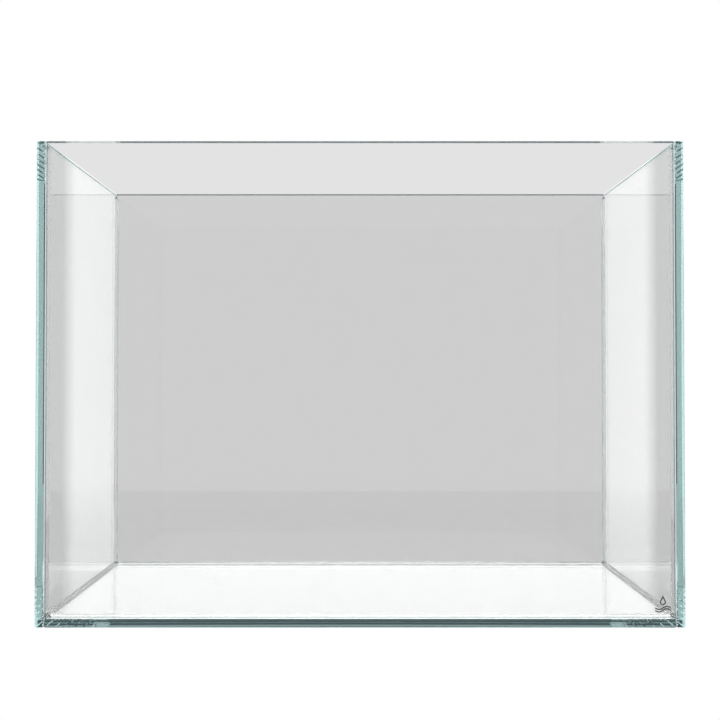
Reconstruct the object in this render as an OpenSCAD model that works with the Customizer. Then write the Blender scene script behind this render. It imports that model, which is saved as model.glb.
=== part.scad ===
// Rimless glass aquarium tank: five ground-edge panes, the silicone that bonds
// them edge to face, the sealing beads in the inner corners and a small printed
// mark. The origin is the centre of the underside, +Z is up and -Y is the front.

/* [Tank] */
// Outside width, left to right
tank_w = 600; // [300:10:1200]
// Outside depth, front to back
tank_d = 300; // [200:10:600]
// Outside height
tank_h = 450; // [200:10:600]
// Thickness of every pane
glass_t = 8; // [5:1:15]

/* [Edges and silicone] */
// Leg of the ground 45 degree bevel on each pane edge
arris = 0.8; // [0.4:0.1:1.5]
// Thickness of the silicone between two panes
bond_t = 0.6; // [0.3:0.1:1.0]
// Leg of the sealing bead on each of its two panes
bead_leg = 4; // [3.5:0.5:8]
// How far the upright beads stop below the rim
bead_drop = 3; // [1:0.5:10]

/* [Mark] */
// Width of the printed mark, along the middle of its waves
mark_w = 14; // [8:1:22]
// Distance from the inner side of the right pane to the middle of the mark
mark_side_gap = 13; // [13:1:60]
// Height of the middle of the mark above the top of the base pane
mark_rise = 14; // [14:1:60]

/* [Hidden] */

// Inner faces of the side panes and of the front and back panes
inner_x = tank_w / 2 - glass_t;
inner_y = tank_d / 2 - glass_t;
// The base pane and the front and back panes fit between the side panes
between_w = 2 * (inner_x - bond_t);
// The front and back panes stand on a bond on the base pane
upright_z = glass_t + bond_t;
upright_h = tank_h - upright_z;

// The bead's face is a shallow hollow arc from one feather edge to the other. Its
// radius is this many legs, and toward_corner is the way from its centre to the corner
bead_hollow = 1.6;
bead_arc_r = bead_hollow * bead_leg;
bead_arc_centre = (bead_leg + sqrt(2 * bead_arc_r * bead_arc_r - bead_leg * bead_leg)) / 2;
bead_arc_half = asin(bead_leg * sqrt(0.5) / bead_arc_r);
bead_steps = 6;
toward_corner = 225;

// The ink of the mark lies on the front pane's outer face
ink_t = 0.1;
mark_x = inner_x - mark_side_gap;
mark_z = glass_t + mark_rise;
mark_line = mark_w * 0.08;
// The drop's point is this many radii above its middle, and its straight sides meet
// its circle at this turn above the level of the middle
drop_r = mark_w * 0.2;
drop_rise = mark_w * 0.12;
drop_point = 2.2;
drop_touch = 25;
drop_step = 5;
// The upper wave lies this far below the middle of the mark, and the other below it
wave_fall = mark_w * 0.26;
wave_pitch = mark_w * 0.16;
// The hollow and the crest of a wave overlap a little where they meet
crest_overlap = mark_line / 5;

glass_colour = [0.72, 0.86, 0.85, 0.35];
silicone_colour = [0.90, 0.94, 0.94, 0.8];
ink_colour = [0.42, 0.43, 0.44];
$fn = 96;

// ---- Panes ----

// Rectangle w by h, centred, with its corners cut at 45 degrees
module bevelled_rectangle(w, h) {
    x = w / 2;
    y = h / 2;
    polygon([[x - arris, y], [x, y - arris], [x, arris - y], [x - arris, -y],
             [arris - x, -y], [-x, arris - y], [-x, y - arris], [arris - x, y]]);
}

// Pane of size [x, y, z] centred on the origin, bevelled along all twelve edges
module pane(size) {
    color(glass_colour)
        intersection() {
            linear_extrude(height = size[2], center = true)
                bevelled_rectangle(size[0], size[1]);
            rotate([90, 0, 0])
                linear_extrude(height = size[1], center = true)
                    bevelled_rectangle(size[0], size[2]);
            rotate([90, 0, 90])
                linear_extrude(height = size[0], center = true)
                    bevelled_rectangle(size[1], size[2]);
        }
}

module base_pane() {
    translate([0, 0, glass_t / 2])
        pane([between_w, tank_d, glass_t]);
}

// side is -1 for the front pane and 1 for the back pane
module upright_pane(side) {
    translate([0, side * (inner_y + glass_t / 2), upright_z + upright_h / 2])
        pane([between_w, glass_t, upright_h]);
}

// side is -1 for the left pane and 1 for the right pane
module side_pane(side) {
    translate([side * (inner_x + glass_t / 2), 0, tank_h / 2])
        pane([glass_t, tank_d, tank_h]);
}

// ---- Silicone between the panes ----

// Both sections are drawn in the joint: X runs away from the pane whose face is
// bonded, and Y runs into the tank from the pane whose edge is bonded.

// The film on the flat of the edge, and the silicone squeezed into the inner bevel
module bond_section() {
    polygon([[0, 0], [0, arris - glass_t], [bond_t, arris - glass_t],
             [bond_t, -arris], [bond_t + arris, 0]]);
}

// The bead in the corner, tooled to a shallow hollow
module bead_section() {
    polygon([[0, 0],
             for (i = [0 : bead_steps])
                 let (turn = toward_corner + bead_arc_half * (1 - 2 * i / bead_steps))
                     [bead_arc_centre + bead_arc_r * cos(turn),
                      bead_arc_centre + bead_arc_r * sin(turn)]]);
}

// The next three draw a section along a joint: of the base pane and right pane,
// of the back pane and base pane, and of the back pane and right pane

module along_base_right(half_length) {
    translate([inner_x, half_length, glass_t])
        rotate([90, 0, 0])
            linear_extrude(height = 2 * half_length)
                mirror([1, 0])
                    children();
}

module along_back_base(half_length) {
    translate([-half_length, inner_y, glass_t])
        rotate([90, 0, 90])
            linear_extrude(height = 2 * half_length)
                rotate(90)
                    children();
}

module up_back_right(top) {
    translate([inner_x, inner_y, glass_t])
        linear_extrude(height = top - glass_t)
            rotate(180)
                children();
}

module base_side_bond() {
    color(silicone_colour)
        along_base_right(tank_d / 2 - arris) bond_section();
}

module upright_base_bond() {
    color(silicone_colour)
        along_back_base(between_w / 2 - arris) bond_section();
}

module corner_bond() {
    color(silicone_colour)
        up_back_right(tank_h - arris) bond_section();
}

// ---- Sealing beads ----

module base_upright_bead() {
    color(silicone_colour)
        along_back_base(inner_x) bead_section();
}

// Cut at its ends to meet the beads of the front and back panes
module base_side_bead() {
    color(silicone_colour)
        difference() {
            along_base_right(inner_y) bead_section();
            for (turn = [0, 1])
                mirror([0, turn, 0])
                    along_back_base(inner_x) bead_section();
        }
}

// Stands on the two base beads that meet in the corner
module corner_bead() {
    color(silicone_colour)
        difference() {
            up_back_right(tank_h - bead_drop) bead_section();
            along_base_right(inner_y) bead_section();
            along_back_base(inner_x) bead_section();
        }
}

// ---- Printed mark ----

// Water drop: a point over most of a circle
module drop_outline(r) {
    polygon([[0, drop_point * r],
             for (turn = [180 - drop_touch : drop_step : 360 + drop_touch])
                 [r * cos(turn), r * sin(turn)]]);
}

// A little over a quarter of a ring of the line's width, curving over the top
module crest_outline(r) {
    intersection() {
        difference() {
            circle(r = r + mark_line / 2);
            circle(r = r - mark_line / 2);
        }
        rotate(45)
            translate([-crest_overlap, -crest_overlap])
                square(2 * r);
    }
}

// One shallow wave: a hollow and then a crest
module wave_outline(w) {
    r = w / (4 * sin(45));
    for (turn = [0, 180])
        rotate(turn)
            translate([w / 4, -r * cos(45)])
                crest_outline(r);
}

// Drop over two waves
module mark_outline() {
    translate([0, drop_rise])
        difference() {
            drop_outline(drop_r);
            drop_outline(drop_r - mark_line);
        }
    for (row = [0, 1])
        translate([0, -wave_fall - wave_pitch * row])
            wave_outline(mark_w);
}

module printed_mark() {
    color(ink_colour)
        translate([mark_x, -tank_d / 2, mark_z])
            rotate([90, 0, 0])
                linear_extrude(height = ink_t)
                    mark_outline();
}

// ---- Nodes ----

base_pane();
upright_pane(-1);  // front_pane
upright_pane(1);  // back_pane
side_pane(-1);  // left_pane
side_pane(1);  // right_pane
mirror([1, 0, 0]) base_side_bond();  // base_left_bond
base_side_bond();  // base_right_bond
mirror([0, 1, 0]) upright_base_bond();  // front_base_bond
upright_base_bond();  // back_base_bond
rotate(180) corner_bond();  // front_left_bond
mirror([0, 1, 0]) corner_bond();  // front_right_bond
mirror([1, 0, 0]) corner_bond();  // back_left_bond
corner_bond();  // back_right_bond
mirror([1, 0, 0]) base_side_bead();  // base_left_bead
base_side_bead();  // base_right_bead
mirror([0, 1, 0]) base_upright_bead();  // base_front_bead
base_upright_bead();  // base_back_bead
rotate(180) corner_bead();  // front_left_bead
mirror([0, 1, 0]) corner_bead();  // front_right_bead
mirror([1, 0, 0]) corner_bead();  // back_left_bead
corner_bead();  // back_right_bead
printed_mark();
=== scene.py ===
"""Rimless glass tank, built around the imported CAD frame. Metres, +Z up, front at -Y."""

import math

import bmesh
import bpy
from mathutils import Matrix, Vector


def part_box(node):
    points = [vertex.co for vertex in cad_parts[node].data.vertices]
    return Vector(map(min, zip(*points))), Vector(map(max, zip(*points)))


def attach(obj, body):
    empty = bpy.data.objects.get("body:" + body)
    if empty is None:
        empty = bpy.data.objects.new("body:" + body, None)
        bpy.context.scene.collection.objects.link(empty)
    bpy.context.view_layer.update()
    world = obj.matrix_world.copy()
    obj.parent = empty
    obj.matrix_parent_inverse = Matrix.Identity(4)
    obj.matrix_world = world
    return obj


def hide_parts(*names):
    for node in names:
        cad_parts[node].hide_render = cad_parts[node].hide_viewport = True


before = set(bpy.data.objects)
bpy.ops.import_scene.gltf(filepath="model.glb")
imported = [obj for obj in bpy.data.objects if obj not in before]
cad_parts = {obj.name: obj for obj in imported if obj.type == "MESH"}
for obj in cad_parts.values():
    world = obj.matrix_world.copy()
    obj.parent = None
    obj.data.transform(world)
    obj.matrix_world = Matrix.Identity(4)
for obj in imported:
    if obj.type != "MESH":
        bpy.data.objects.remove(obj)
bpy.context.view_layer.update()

MM = 0.001
X, Y, Z = Vector((1, 0, 0)), Vector((0, 1, 0)), Vector((0, 0, 1))
SIDES = {"left": -1, "right": 1}
ENDS = {"front": -1, "back": 1}

# ---- Sizes, from the frame ----

tank_low, tank_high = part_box("left_pane")[0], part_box("right_pane")[1]
base_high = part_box("base_pane")[1]
front_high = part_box("front_pane")[1]
bead_low, bead_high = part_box("back_right_bead")
base_bond_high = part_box("base_right_bond")[1]

HALF_W = tank_high.x
FRONT_Y, BACK_Y = tank_low.y, tank_high.y
INNER = Vector((bead_high.x, bead_high.y, base_high.z))  # inner faces of the panes
GLASS_T = base_high.z
BEAD_LEG = bead_high.x - bead_low.x
BOND_T = INNER.x - base_high.x
ARRIS = BACK_Y - base_bond_high.y

# Silicone stands this far off the glass, so that no two faces lie in one place
SKIN = 0.03 * MM

# ---- Camera ----

CAMERA_DISTANCE = 1.0  # in front of the front pane
CAMERA_HEIGHT = 0.2298
CAMERA_PITCH = math.radians(0.970)
LENS_MM = 54.083
SENSOR_MM = 36.0


def depth_of(y):
    """How far ahead of the camera y lies."""
    return CAMERA_DISTANCE + y - FRONT_Y


def make_camera():
    data = bpy.data.cameras.new("camera")
    data.lens = LENS_MM
    data.sensor_width = SENSOR_MM
    camera = bpy.data.objects.new("camera", data)
    camera.location = (0, FRONT_Y - CAMERA_DISTANCE, CAMERA_HEIGHT)
    camera.rotation_euler = (math.pi / 2 + CAMERA_PITCH, 0, 0)
    bpy.context.scene.collection.objects.link(camera)
    bpy.context.scene.camera = camera


# ---- Materials ----

# Float glass is nearer 1.52. The index sets how far across the front edge of each side pane
# its light line lies
GLASS_IOR = 1.465
GLASS_SURFACE = (0.808, 0.8, 0.8)  # greys what is seen through a pane
GLASS_TINT = (0.1, 0.49, 0.48)
GLASS_DENSITY = 3.33

SILICONE_IOR = 1.41
HAZE_SCALE = 240
# The share of light that the silicone lets through
FILM_CLARITY = 1.0
BEAD_CLARITY = 0.98

INK_SCALE = 2500


def new_material(name):
    material = bpy.data.materials.new(name)
    material.use_nodes = True
    nodes = material.node_tree.nodes
    return material, nodes, material.node_tree.links, nodes["Principled BSDF"]


def noise_ramp(nodes, links, scale, dark, light):
    """A colour that wanders from dark to light in soft patches."""
    noise = nodes.new("ShaderNodeTexNoise")
    noise.inputs["Scale"].default_value = scale
    ramp = nodes.new("ShaderNodeValToRGB")
    ramp.color_ramp.elements[0].color = (*dark, 1)
    ramp.color_ramp.elements[1].color = (*light, 1)
    links.new(noise.outputs["Fac"], ramp.inputs["Fac"])
    return ramp.outputs["Color"]


def glass_material():
    """Low-iron float glass: nearly clear through a pane, blue-green along it."""
    material, nodes, links, shader = new_material("glass")
    shader.inputs["Base Color"].default_value = (*GLASS_SURFACE, 1)
    shader.inputs["Roughness"].default_value = 0.0
    shader.inputs["IOR"].default_value = GLASS_IOR
    shader.inputs["Transmission Weight"].default_value = 1.0
    absorption = nodes.new("ShaderNodeVolumeAbsorption")
    absorption.inputs["Color"].default_value = (*GLASS_TINT, 1)
    absorption.inputs["Density"].default_value = GLASS_DENSITY
    links.new(absorption.outputs["Volume"], nodes["Material Output"].inputs["Volume"])
    return material


def silicone_material(name, clarity):
    """Clear cured silicone, a little cloudy."""
    material, nodes, links, shader = new_material(name)
    haze = noise_ramp(nodes, links, HAZE_SCALE, (0.965, 0.99, 0.985), (0.99, 1.0, 0.995))
    links.new(haze, shader.inputs["Base Color"])
    shader.inputs["Roughness"].default_value = 0.05
    shader.inputs["IOR"].default_value = SILICONE_IOR
    shader.inputs["Transmission Weight"].default_value = clarity
    return material


def ink_material():
    """Fired screen print: dark grey, a little uneven in cover."""
    material, nodes, links, shader = new_material("ink")
    cover = noise_ramp(nodes, links, INK_SCALE, (0.03, 0.035, 0.04), (0.09, 0.1, 0.11))
    links.new(cover, shader.inputs["Base Color"])
    shader.inputs["Roughness"].default_value = 0.55
    return material


# ---- Panes ----

EDGE_ROUND = 0.12 * MM


def new_piece(name, mesh, material, node):
    """Adds a mesh that stands for a CAD node and rides with it."""
    piece = bpy.data.objects.new(name, mesh)
    bpy.context.scene.collection.objects.link(piece)
    mesh.materials.append(material)
    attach(piece, "root")
    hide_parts(node)
    return piece


def pane(node, material):
    """A pane with ground bevels on its edges, each softened a little by polishing."""
    low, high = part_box(node)
    work = bmesh.new()
    bmesh.ops.create_cube(work, size=1.0)
    for vert in work.verts:
        vert.co = Vector([high[i] if vert.co[i] > 0 else low[i] for i in range(3)])
    for offset, segments in ((ARRIS, 1), (EDGE_ROUND, 2)):
        bmesh.ops.bevel(work, geom=work.edges[:], offset=offset, segments=segments,
                        affect="EDGES", offset_type="OFFSET", clamp_overlap=False)
    mesh = bpy.data.meshes.new(node + "_glass")
    work.to_mesh(mesh)
    work.free()
    return new_piece(node + "_glass", mesh, material, node)


# ---- Silicone ----


def skin_rings(rings, name):
    """A closed tube through rings of points, with flat ends."""
    work = bmesh.new()
    rows = [[work.verts.new(p) for p in ring] for ring in rings]
    n = len(rows[0])
    for a, b in zip(rows, rows[1:]):
        for i in range(n):
            work.faces.new((a[i], a[(i + 1) % n], b[(i + 1) % n], b[i]))
    work.faces.new(rows[0][::-1])
    work.faces.new(rows[-1])
    bmesh.ops.recalc_face_normals(work, faces=work.faces)
    mesh = bpy.data.meshes.new(name)
    work.to_mesh(mesh)
    work.free()
    return mesh


# ---- Sealing beads ----

BEAD_HOLLOW = 1.6  # radius of the bead's hollow face, in legs
BEAD_ARC_STEPS = 10
TOWARD_CORNER = math.radians(225)  # from the centre of the hollow's arc
BEAD_STEP = 4 * MM
# Only the end ring is drawn this near to a mitre, because it slants back over the others
MITRE_REACH = 1.5 * BEAD_LEG

# A bead's unevenness, as a share of its size. It fades in over this length from each mitre
BEAD_WAVE = 0.005
WAVE_FADE = 20 * MM
# (radians in a metre, height, shift for each seed) of the waves that make it up
WAVES = ((61, 1.0, 1.0), (143, 0.6, 2.1), (317, 0.4, 3.7))
# The open end of an upright bead is rounded off over this length, down to this share of its size
BEAD_TAIL = 6 * MM
TAIL_TIP = 0.05


def bead_section():
    """(u, v) points of a bead's section in legs, with the corner of the two panes at (0, 0)."""
    r = BEAD_HOLLOW
    centre = (1 + math.sqrt(2 * r * r - 1)) / 2
    half = math.asin(math.sqrt(0.5) / r)
    points = [(0.0, 0.0)]
    for i in range(BEAD_ARC_STEPS + 1):
        turn = TOWARD_CORNER + half * (1 - 2 * i / BEAD_ARC_STEPS)
        points.append((centre + r * math.cos(turn), centre + r * math.sin(turn)))
    return points


def wobble(t, seed):
    """Smooth unevenness of a hand-tooled bead at distance t, from about -1 to 1."""
    return sum(height * math.sin(t * rate + shift * seed) for rate, height, shift in WAVES) / 2


def bead_scale(t, length, mitre_both, seed):
    """Size of a bead at distance t along it."""
    fade = min(t, length - t if mitre_both else length, WAVE_FADE) / WAVE_FADE
    scale = 1 + BEAD_WAVE * wobble(t, seed) * fade - BEAD_WAVE
    into_tail = (t - length + BEAD_TAIL) / BEAD_TAIL
    if not mitre_both and into_tail > 0:
        scale *= max(math.sqrt(max(1 - into_tail ** 2, 0)), TAIL_TIP)
    return scale


def bead(node, corner, u, v, along, length, mitre_both, material, seed):
    """A tooled bead from a corner point: u and v run out along the two panes, and along
    runs down the joint. Its ends are mitred where three beads meet. An upright bead has an
    open top end, so mitre_both is false for it."""
    section = bead_section()
    steps = max(int(length / BEAD_STEP), 2)
    rings = []
    for k in range(steps + 1):
        t = length * k / steps
        mitre_near = t < MITRE_REACH or (mitre_both and length - t < MITRE_REACH)
        if mitre_near and k not in (0, steps):
            continue
        size = BEAD_LEG * bead_scale(t, length, mitre_both, seed)
        ring = []
        for pu, pv in section:
            du, dv = SKIN + pu * size, SKIN + pv * size
            back = max(du, dv) + SKIN
            d = t
            if k == 0:
                d = back
            elif mitre_both and k == steps:
                d = length - back
            ring.append(corner + u * du + v * dv + along * d)
        rings.append(ring)
    mesh = skin_rings(rings, node + "_silicone")
    for polygon in mesh.polygons:
        polygon.use_smooth = len(polygon.vertices) == 4
    return new_piece(node + "_silicone", mesh, material, node)


def make_beads(material):
    """The beads, each with its own seed for its unevenness."""
    seed = 0
    for side, sx in SIDES.items():
        seed += 1
        corner = Vector((sx * INNER.x, -INNER.y, INNER.z))
        bead(f"base_{side}_bead", corner, -X * sx, Z, Y, 2 * INNER.y, True, material, seed)
    for end, sy in ENDS.items():
        seed += 1
        corner = Vector((-INNER.x, sy * INNER.y, INNER.z))
        bead(f"base_{end}_bead", corner, -Y * sy, Z, X, 2 * INNER.x, True, material, seed)
        for side, sx in SIDES.items():
            seed += 1
            corner = Vector((sx * INNER.x, sy * INNER.y, INNER.z))
            bead(f"{end}_{side}_bead", corner, -X * sx, -Y * sy, Z, bead_high.z - INNER.z, False,
                 material, seed)


# ---- Films between the panes ----

FILM_HOLLOW = 0.2 * MM  # depth of the hollow that a film ends in


def bond_section():
    """(u, v) points: u across the film, from the face that is bonded to the pane's edge, and
    v outwards from the pane's inner face."""
    near, far = SKIN, BOND_T - SKIN
    # the lip fills the inner bevel, and stops short of its feather edge
    lip = BOND_T + ARRIS - 3 * SKIN
    depth = GLASS_T - ARRIS
    hollow = ((near + far) / 2, depth - FILM_HOLLOW)
    return [(near, 0), (lip, 0), (far, ARRIS), (far, depth), hollow, (near, depth)]


def bond(node, corner, u, v, along, start, stop, material):
    rings = []
    for d in (start, stop):
        rings.append([corner + u * pu + v * pv + along * d for pu, pv in bond_section()])
    mesh = skin_rings(rings, node + "_silicone")
    return new_piece(node + "_silicone", mesh, material, node)


def make_bonds(material):
    rim = tank_high.z - ARRIS
    for side, sx in SIDES.items():
        corner = Vector((sx * INNER.x, 0, INNER.z))
        reach = base_high.y - ARRIS
        bond(f"base_{side}_bond", corner, -X * sx, -Z, Y, -reach, reach, material)
    for end, sy in ENDS.items():
        corner = Vector((0, sy * INNER.y, INNER.z))
        reach = front_high.x - ARRIS
        bond(f"{end}_base_bond", corner, Z, Y * sy, X, -reach, reach, material)
        for side, sx in SIDES.items():
            corner = Vector((sx * INNER.x, sy * INNER.y, 0))
            bond(f"{end}_{side}_bond", corner, -X * sx, Y * sy, Z, INNER.z + SKIN, rim, material)


# ---- Stage: light ----

WORLD_LIGHT = 0.9625
FLAG_COLOUR = (0.105, 0.12, 0.14)
LOW_FLAG_COLOUR = (0.17, 0.185, 0.2)

# A dark band of the world, by its rise over its depth, and how squarely ahead or behind it is
BAND_LOW, BAND_HIGH = 0.2212, 0.245
BAND_AHEAD = 0.7

# Light is reflected from side to side in the panes' edges many times
MAX_BOUNCES = 96


def grey(light):
    return (light, light, light)


def math_node(nodes, links, operation, *values):
    """Adds a math node and returns its result. Each value is a socket or a number."""
    node = nodes.new("ShaderNodeMath")
    node.operation = operation
    for socket, value in zip(node.inputs, values):
        if isinstance(value, bpy.types.NodeSocket):
            links.new(value, socket)
        else:
            socket.default_value = value
    return node.outputs[0]


def seen_white(nodes, links, light):
    """White for the camera, and light for everything that the glass gathers."""
    path = nodes.new("ShaderNodeLightPath")
    either = nodes.new("ShaderNodeMixRGB")
    links.new(path.outputs["Is Camera Ray"], either.inputs["Fac"])
    links.new(light, either.inputs["Color1"])
    either.inputs["Color2"].default_value = (1, 1, 1, 1)
    return either.outputs["Color"]


def glow_material(name, colour, fades):
    """Light of a colour. Each fade (direction, start, stop, share) dims it along its direction,
    from share of itself at start to all of it at stop."""
    material = bpy.data.materials.new(name)
    material.use_nodes = True
    nodes, links = material.node_tree.nodes, material.node_tree.links
    nodes.clear()
    where = nodes.new("ShaderNodeNewGeometry")
    level = nodes.new("ShaderNodeRGB").outputs[0]
    level.default_value = (*colour, 1)
    for direction, start, stop, share in fades:
        along = nodes.new("ShaderNodeVectorMath")
        along.operation = "DOT_PRODUCT"
        along.inputs[1].default_value = direction
        links.new(where.outputs["Position"], along.inputs[0])
        ramp = nodes.new("ShaderNodeMapRange")
        ramp.inputs["From Min"].default_value = start
        ramp.inputs["From Max"].default_value = stop
        ramp.inputs["To Min"].default_value = share
        links.new(along.outputs["Value"], ramp.inputs["Value"])
        product = nodes.new("ShaderNodeVectorMath")
        product.operation = "SCALE"
        links.new(level, product.inputs["Vector"])
        links.new(ramp.outputs["Result"], product.inputs["Scale"])
        level = product.outputs["Vector"]
    glow = nodes.new("ShaderNodeEmission")
    output = nodes.new("ShaderNodeOutputMaterial")
    links.new(seen_white(nodes, links, level), glow.inputs["Color"])
    links.new(glow.outputs[0], output.inputs["Surface"])
    return material


def set_up_render():
    scene = bpy.context.scene
    scene.view_settings.view_transform = "Standard"
    scene.cycles.max_bounces = MAX_BOUNCES
    scene.cycles.transmission_bounces = MAX_BOUNCES
    scene.cycles.glossy_bounces = MAX_BOUNCES
    scene.cycles.blur_glossy = 0.0
    scene.cycles.sample_clamp_indirect = 0.0


def make_world():
    """Even light all round, but for a narrow dark band ahead and behind, which the base pane's
    front edge looks up at through the pane in the main view."""
    world = bpy.data.worlds.new("studio")
    bpy.context.scene.world = world
    world.use_nodes = True
    nodes, links = world.node_tree.nodes, world.node_tree.links
    where = nodes.new("ShaderNodeTexCoord")
    split = nodes.new("ShaderNodeSeparateXYZ")
    links.new(where.outputs["Generated"], split.inputs[0])
    depth = math_node(nodes, links, "ABSOLUTE", split.outputs["Y"])
    slope = math_node(nodes, links, "DIVIDE", split.outputs["Z"], depth)
    ahead = math_node(nodes, links, "GREATER_THAN", depth, BAND_AHEAD)
    band = nodes.new("ShaderNodeValToRGB")
    band.color_ramp.interpolation = "CONSTANT"
    links.new(math_node(nodes, links, "MULTIPLY", slope, ahead), band.inputs["Fac"])
    stops = band.color_ramp.elements
    stops[0].color = (*grey(WORLD_LIGHT), 1)
    stops[1].position = BAND_HIGH
    stops[1].color = (*grey(WORLD_LIGHT), 1)
    stops.new(BAND_LOW).color = (*FLAG_COLOUR, 1)
    links.new(seen_white(nodes, links, band.outputs["Color"]), nodes["Background"].inputs["Color"])


def stage_quad(name, corners, colour, fades=()):
    mesh = bpy.data.meshes.new(name)
    mesh.from_pydata(corners, [], [(0, 1, 2, 3)])
    mesh.materials.append(glow_material(name, colour, fades))
    quad = bpy.data.objects.new(name, mesh)
    bpy.context.scene.collection.objects.link(quad)
    return quad


# ---- Stage: soft cards ----

# A card stands behind the tank on each side of it, and brightens inwards to its full light. Its
# outer end and where it is full are given by how far out the camera sees them for their depth
CARD_LIGHT = 1.78
CARD_Y = 0.35
CARD_OUTER_SIGHT = 0.2787
CARD_FULL_SIGHT = 0.2667
# It is dimmer at its foot, up to this height
CARD_FOOT = 0.09
CARD_FOOT_SHARE = 0.84
# Its inner end is seen in line with the tank's inner back corner
CARD_INNER_SIGHT = INNER.x / depth_of(INNER.y)

# ---- Stage: floor ----

FLOOR_REACH = 1.066
FLOOR_LIGHT = 0.88
# How far the floor, and the patches of other light on it, lie below the tank's underside
FLOOR_DROP = 0.3 * MM
PATCH_DROP = 0.2 * MM

# The pad under the tank is dimmer at its front, and stops a little short of the back of the tank
PAD_LIGHT = 2.5
PAD_SIDE_LIGHT = 2.14
PAD_FRONT_SHARE = 0.82
PAD_SHORT = 2 * MM

# A shade on the floor behind the tank, with a lighter strip along it, by distance from the tank
SHADE_STRIP_NEAR = 15 * MM
SHADE_STRIP_FAR = 24 * MM
SHADE_FAR = 37 * MM
SHADE_HALF = 0.283
STRIP_LIGHT = 0.6

# The floor beside the tank is lit as far out as the camera sees the cards, and brightens across
# its lines of sight, which run this much in Y for each X
SIDE_FLOOR_LIGHT = 1.2
SIDE_FLOOR_SHARE = 0.5
SLANT = 3.6
SLANT_NEAR, SLANT_FULL = -1.16, -1.10
# At the tank's front it is this wide, and beyond it the floor is dimmer
SIDE_FLOOR_FRONT = 5 * MM
OUTER_FLOOR_LIGHT = 0.7


def floor_patch(name, near_y, near_x, far_y, far_x, colour, fades=()):
    """A patch on the floor from near_y to far_y, each end between its own two x."""
    (a, b), (c, d) = near_x, far_x
    corners = [(a, near_y), (b, near_y), (d, far_y), (c, far_y)]
    return stage_quad(name, [(x, y, -PATCH_DROP) for x, y in corners], colour, fades)


def make_pad(pad_back):
    """The light under the tank. Its middle is what lies before the back pane, as the camera
    sees it."""
    near = INNER.x * CAMERA_DISTANCE / depth_of(BACK_Y)
    fade = [(Y, FRONT_Y, BACK_Y, PAD_FRONT_SHARE)]
    floor_patch("floor_pad", FRONT_Y, (-near, near), pad_back, (-INNER.x, INNER.x),
                grey(PAD_LIGHT), fade)
    for side, sx in SIDES.items():
        floor_patch(f"floor_pad_{side}", FRONT_Y, (sx * near, sx * HALF_W), pad_back,
                    (sx * INNER.x, sx * HALF_W), grey(PAD_SIDE_LIGHT), fade)


def make_shade(shade_front):
    """The shade that the base pane's front edge looks down at through the pane. Its lighter
    strip draws the light line low in that edge."""
    across = (-SHADE_HALF, SHADE_HALF)
    strip_near, strip_far = BACK_Y + SHADE_STRIP_NEAR, BACK_Y + SHADE_STRIP_FAR
    shade_far = BACK_Y + SHADE_FAR
    floor_patch("floor_shade_near", shade_front, across, strip_near, across, FLAG_COLOUR)
    floor_patch("floor_shade_strip", strip_near, across, strip_far, across, grey(STRIP_LIGHT))
    floor_patch("floor_shade_far", strip_far, across, shade_far, across, FLAG_COLOUR)


def make_side_floor(side, sx):
    """The floor beside the tank, the part behind it up to the card's foot, and the rest."""
    card_depth = depth_of(CARD_Y)
    start = (sx * HALF_W, sx * (HALF_W + SIDE_FLOOR_FRONT))
    beside = (sx * HALF_W, sx * CARD_OUTER_SIGHT * depth_of(BACK_Y))
    behind = (sx * CARD_INNER_SIGHT * card_depth, sx * CARD_OUTER_SIGHT * card_depth)
    rest_near, rest_far = (start[1], sx * FLOOR_REACH), (beside[1], sx * FLOOR_REACH)
    fade = [(Y - X * sx * SLANT, SLANT_NEAR, SLANT_FULL, SIDE_FLOOR_SHARE)]
    foot_light = CARD_LIGHT * CARD_FOOT_SHARE
    floor_patch(f"floor_beside_{side}", FRONT_Y, start, BACK_Y, beside,
                grey(SIDE_FLOOR_LIGHT), fade)
    floor_patch(f"floor_behind_{side}", BACK_Y, beside, CARD_Y, behind, grey(foot_light), fade)
    floor_patch(f"floor_outer_{side}", FRONT_Y, rest_near, BACK_Y, rest_far,
                grey(OUTER_FLOOR_LIGHT))


def make_floor():
    """A light table: brightest under the tank, lit beside it, with a shade behind it."""
    reach = FLOOR_REACH
    corners = [(-reach, -reach), (reach, -reach), (reach, reach), (-reach, reach)]
    stage_quad("floor", [(x, y, -FLOOR_DROP) for x, y in corners], grey(FLOOR_LIGHT))
    pad_back = BACK_Y - PAD_SHORT
    make_pad(pad_back)
    make_shade(pad_back)
    for side, sx in SIDES.items():
        make_side_floor(side, sx)


# ---- Stage: cards and flags ----

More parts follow.
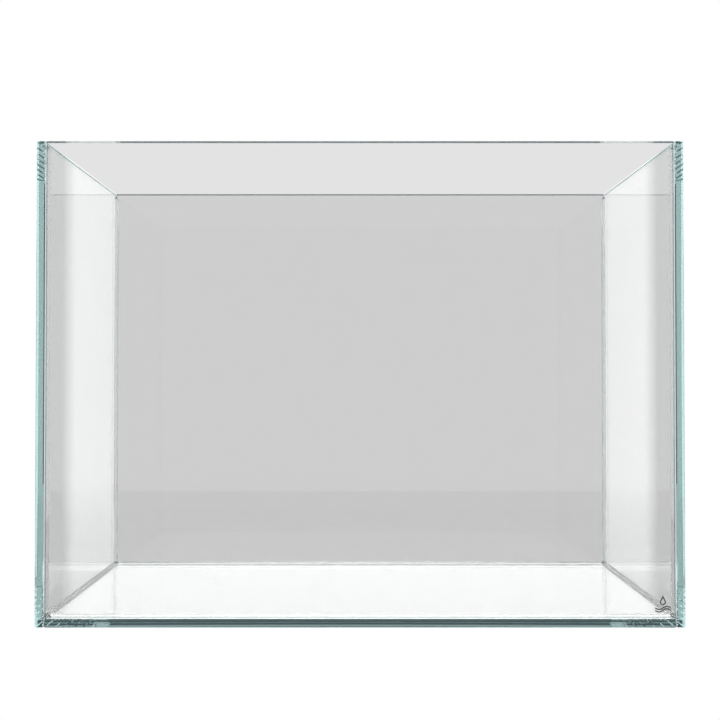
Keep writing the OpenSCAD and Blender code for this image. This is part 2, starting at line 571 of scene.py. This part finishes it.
# Dark flags stand this far back. The rims look down at a low one, and the inner bevels of the
# side panes' front edges look at one far out on each side
FLAG_Y = 8.0
LOW_FLAG_HALF = 2.75
LOW_FLAG_FOOT, LOW_FLAG_TOP = -3.2, -1.3
SIDE_FLAG_INNER, SIDE_FLAG_OUTER = 6.76, 7.16
SIDE_FLAG_FOOT, SIDE_FLAG_TOP = -0.9, 2.7


def far_flag(name, x0, x1, z0, z1, colour):
    corners = [(x0, FLAG_Y, z0), (x1, FLAG_Y, z0), (x1, FLAG_Y, z1), (x0, FLAG_Y, z1)]
    stage_quad(name, corners, colour).visible_camera = False


def make_cards():
    """A soft card behind each side of the tank, and far dark flags. From the camera each soft
    card's top lies on the line of the side pane's rim, so in the main view the card is seen
    through the side panes only."""
    distance = depth_of(CARD_Y)
    inner, outer = CARD_INNER_SIGHT * distance, CARD_OUTER_SIGHT * distance
    full = CARD_FULL_SIGHT * distance
    rise = (tank_high.z - CAMERA_HEIGHT) / INNER.x
    inner_top, outer_top = CAMERA_HEIGHT + rise * inner, CAMERA_HEIGHT + rise * outer
    outline = ((inner, 0), (outer, 0), (outer, outer_top), (inner, inner_top))
    for side, sx in SIDES.items():
        corners = [(sx * x, CARD_Y, z) for x, z in outline]
        fades = [(X * sx, outer, full, WORLD_LIGHT / CARD_LIGHT),
                 (Z, 0.0, CARD_FOOT, CARD_FOOT_SHARE)]
        stage_quad(f"{side}_card", corners, grey(CARD_LIGHT), fades).visible_camera = False
        far_flag(f"{side}_flag", sx * SIDE_FLAG_INNER, sx * SIDE_FLAG_OUTER,
                 SIDE_FLAG_FOOT, SIDE_FLAG_TOP, FLAG_COLOUR)
    far_flag("low_flag", -LOW_FLAG_HALF, LOW_FLAG_HALF, LOW_FLAG_FOOT, LOW_FLAG_TOP,
             LOW_FLAG_COLOUR)


# ---- Build ----

make_camera()
set_up_render()
make_world()
make_floor()
make_cards()

glass = glass_material()
film_silicone = silicone_material("film_silicone", FILM_CLARITY)
bead_silicone = silicone_material("bead_silicone", BEAD_CLARITY)
ink = ink_material()

for name in ("base_pane", "front_pane", "back_pane", "left_pane", "right_pane"):
    pane(name, glass)
make_beads(bead_silicone)
make_bonds(film_silicone)
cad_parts["printed_mark"].material_slots[0].material = ink
